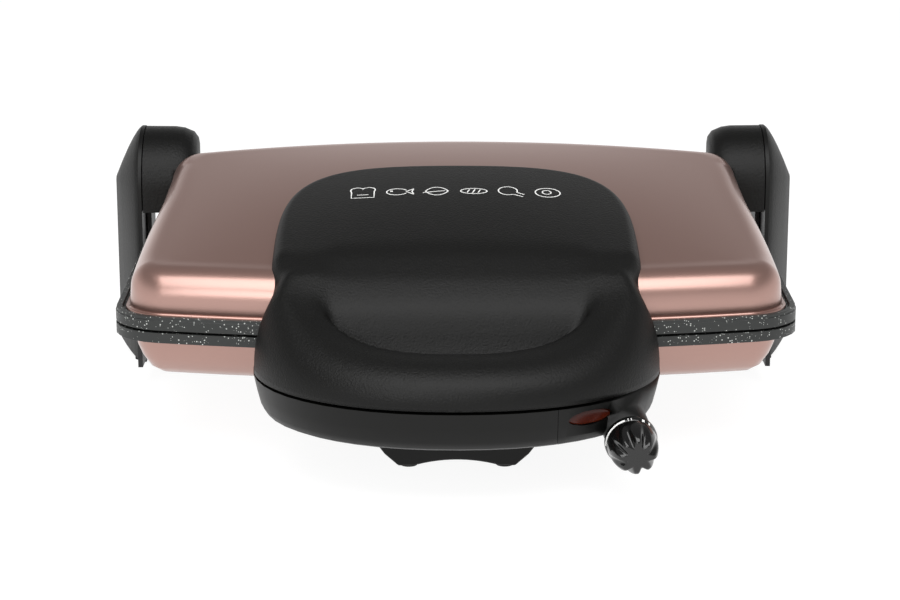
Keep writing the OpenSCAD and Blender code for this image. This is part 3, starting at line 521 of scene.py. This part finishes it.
def build_knob():
    around = 180
    turns = [360 * i / around for i in range(around)]
    grip = [(SKIRT_H, 0)] + [(mix(SKIRT_H, KNOB_L - 1.4, i / 10), 0) for i in range(1, 11)]
    grip += [(KNOB_L - 1.4 * (1 - math.sin(math.radians(a))), 1.4 * (1 - math.cos(math.radians(a))))
             for a in (25, 50, 72, 90)]
    levels = [[(0, KNOB_R - 0.3)] * around, [(0.3, KNOB_R)] * around,
              [(SKIRT_BEVEL_Z, KNOB_R)] * around, [(SKIRT_H - 0.02, GRIP_R + 0.02)] * around]
    levels += [[(z, knob_r(z, t + 180 / FLUTES) - less) for t in turns] for z, less in grip]
    levels.append([(KNOB_L, knob_r(KNOB_L, t + 180 / FLUTES) * 0.6) for t in turns])
    rows = [[(r * math.cos(math.radians(t)), r * math.sin(math.radians(t)), z)
             for (z, r), t in zip(level, turns)] for level in levels]
    bm = skin(rows)
    bmesh.ops.holes_fill(bm, edges=bm.edges, sides=0)
    bmesh.ops.transform(bm, matrix=KNOB_AXIS, verts=bm.verts)
    piece("knob_moulding", outward(bm), polished_abs, "knob", ["knob"], 40)

    bm = bmesh.new()
    mid = (KNOB_R + GRIP_R) / 2
    marks = [(oval(0, 0, mid, mid, 108, 186, 40), 0.45)]
    for turn, wide in ((97, 2.2), (66, 1.5), (50, 1.2)):
        c, t = math.cos(math.radians(turn)), math.sin(math.radians(turn))
        inner, outer = GRIP_R, KNOB_R - 0.06
        marks.append((line((inner * c, inner * t), (outer * c, outer * t), 2), wide))
    for path, width in marks:
        strip(bm, path, width, on_skirt)
    bmesh.ops.transform(bm, matrix=KNOB_AXIS, verts=bm.verts)
    piece("knob_marks", bm, white_ink, "knob")


def build_lens():
    n = 72
    levels = [(-3.5, 1), (0.3, 1)]
    levels += [(0.3 + 1.09 * math.sin(math.radians(a)), math.cos(math.radians(a)) ** 0.6)
               for a in (12, 24, 38, 52, 66, 80)]
    rows = [[(14.4 * s * math.cos(2 * math.pi * i / n), 4.3 * s * math.sin(2 * math.pi * i / n), z)
             for i in range(n)] for z, s in levels]
    bm = skin(rows)
    bmesh.ops.holes_fill(bm, edges=bm.edges, sides=0)
    bmesh.ops.transform(bm, matrix=LENS_AXIS, verts=bm.verts)
    piece("lens_dome", outward(bm), red_acrylic, "base", ["indicator_lens"], 60)


# Pieces that keep their CAD form: merged, with their sharp edges broken


def dressed(name, material, bevel_mm, segments=2, sharp_deg=32, limit_deg=38):
    bm = bmesh.new()
    bm.from_mesh(nodes[name].data)
    bmesh.ops.remove_doubles(bm, verts=bm.verts, dist=2e-6)
    bmesh.ops.dissolve_limit(bm, angle_limit=math.radians(0.4), verts=bm.verts, edges=bm.edges)
    bmesh.ops.scale(bm, vec=(1000, 1000, 1000), verts=bm.verts)
    made = piece(name + "_part", bm, material, nodes[name]["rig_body"], [name], sharp_deg)
    if bevel_mm:
        edge = made.modifiers.new("edges", "BEVEL")
        edge.width, edge.segments = bevel_mm * 0.001, segments
        edge.limit_method, edge.angle_limit = "ANGLE", math.radians(limit_deg)
        edge.use_clamp_overlap = True
        edge.harden_normals = False
    return made


def build_plain():
    for name, node in nodes.items():
        node.data.materials.clear()
        node.data.materials.append(SLOT_FINISH[slot_of[name]])


def build_dressed():
    for name in ("lower_plate", "upper_plate"):
        dressed(name, granite_ptfe, 1.2, 3)
    dressed("lower_shell", rose_enamel, 0, sharp_deg=50)
    for name in ("front_housing", "control_panel"):
        dressed(name, fine_moulding, 0, sharp_deg=50)
    dressed("front_foot", fine_moulding, 1.2, 3)
    for side in ("left", "right"):
        dressed(side + "_tower_cover", grained_moulding, 0, sharp_deg=50)
        dressed(side + "_tower_frame", fine_moulding, 0.4)
        dressed(side + "_arm_cover", grained_moulding, 0, sharp_deg=40)
        dressed(side + "_hinge_arm", powder_coat, 0.4)


# Stage, light and camera


def build_stage():
    bm = bmesh.new()
    bmesh.ops.create_grid(bm, x_segments=1, y_segments=1, size=6)
    mesh = bpy.data.meshes.new("floor")
    bm.to_mesh(mesh)
    bm.free()
    floor = bpy.data.objects.new("floor", mesh)
    bpy.context.scene.collection.objects.link(floor)
    paper = bpy.data.materials.new("white_paper")
    paper.use_nodes = True
    tree = paper.node_tree
    surface = tree.nodes["Principled BSDF"]
    surface.inputs["Base Color"].default_value = linear("#f6f6f5")
    surface.inputs["Roughness"].default_value = 0.9
    ray = add(tree, "ShaderNodeLightPath")
    seen = add(tree, "ShaderNodeMath", {"operation": "MAXIMUM"},
               {0: ray.outputs["Is Camera Ray"], 1: ray.outputs["Is Glossy Ray"]})
    glow = add(tree, "ShaderNodeEmission", None, {"Color": linear("#ffffff"), "Strength": 1.15})
    share = add(tree, "ShaderNodeMath", {"operation": "MULTIPLY"}, {0: seen.outputs["Value"], 1: 0.8})
    both = add(tree, "ShaderNodeMixShader", None,
               {0: share.outputs["Value"], 1: surface.outputs["BSDF"], 2: glow.outputs["Emission"]})
    tree.links.new(both.outputs["Shader"], tree.nodes["Material Output"].inputs["Surface"])
    mesh.materials.append(paper)

    world = bpy.data.worlds.new("studio")
    bpy.context.scene.world = world
    world.use_nodes = True
    tree = world.node_tree
    back = tree.nodes["Background"]
    ray = add(tree, "ShaderNodeLightPath")
    seen = add(tree, "ShaderNodeMath", {"operation": "MAXIMUM"},
               {0: ray.outputs["Is Camera Ray"], 1: ray.outputs["Is Transmission Ray"]})
    level = add(tree, "ShaderNodeMapRange", None,
                {"Value": seen.outputs["Value"], "To Min": 0.45, "To Max": 1.0})
    place = add(tree, "ShaderNodeTexCoord").outputs["Generated"]
    height = add(tree, "ShaderNodeSeparateXYZ", None, {"Vector": place})
    ceiling = add(tree, "ShaderNodeMapRange", None,
                  {"Value": height.outputs["Z"], "From Min": 0.15, "From Max": 0.6,
                   "To Min": 1.0, "To Max": 0.22})
    mirrored = add(tree, "ShaderNodeMix", {"data_type": "FLOAT"},
                   {"Factor": ray.outputs["Is Glossy Ray"], "A": level.outputs["Result"],
                    "B": ceiling.outputs["Result"]})
    back.inputs["Color"].default_value = linear("#ffffff")
    tree.links.new(mirrored.outputs["Result"], back.inputs["Strength"])


def softbox(name, place, target, width, height, power):
    lamp = bpy.data.lights.new(name, "AREA")
    lamp.shape, lamp.size, lamp.size_y, lamp.energy = "RECTANGLE", width, height, power
    made = bpy.data.objects.new(name, lamp)
    made.location = place
    made.rotation_euler = (Vector(target) - Vector(place)).to_track_quat("-Z", "Y").to_euler()
    bpy.context.scene.collection.objects.link(made)


def build_light():
    softbox("overhead", (0, -0.65, 1.25), (0, -0.05, 0.1), 1.8, 1.0, 19)
    softbox("front_fill", (-0.6, -1.8, 0.9), (0, 0, 0.05), 1.2, 0.8, 10)


def build_camera():
    camera = bpy.data.cameras.new("camera")
    camera.sensor_width, camera.lens = 36, 104
    made = bpy.data.objects.new("camera", camera)
    made.location = (-0.014, -1.5393, 0.486)
    made.rotation_euler = (math.radians(75), 0, math.radians(-0.4))
    bpy.context.scene.collection.objects.link(made)
    bpy.context.scene.camera = made


bpy.context.scene.view_settings.view_transform = "Standard"
build_plain()
build_dressed()
build_lid()
build_handle()
build_motifs()
build_knob()
build_lens()
build_stage()
build_light()
build_camera()
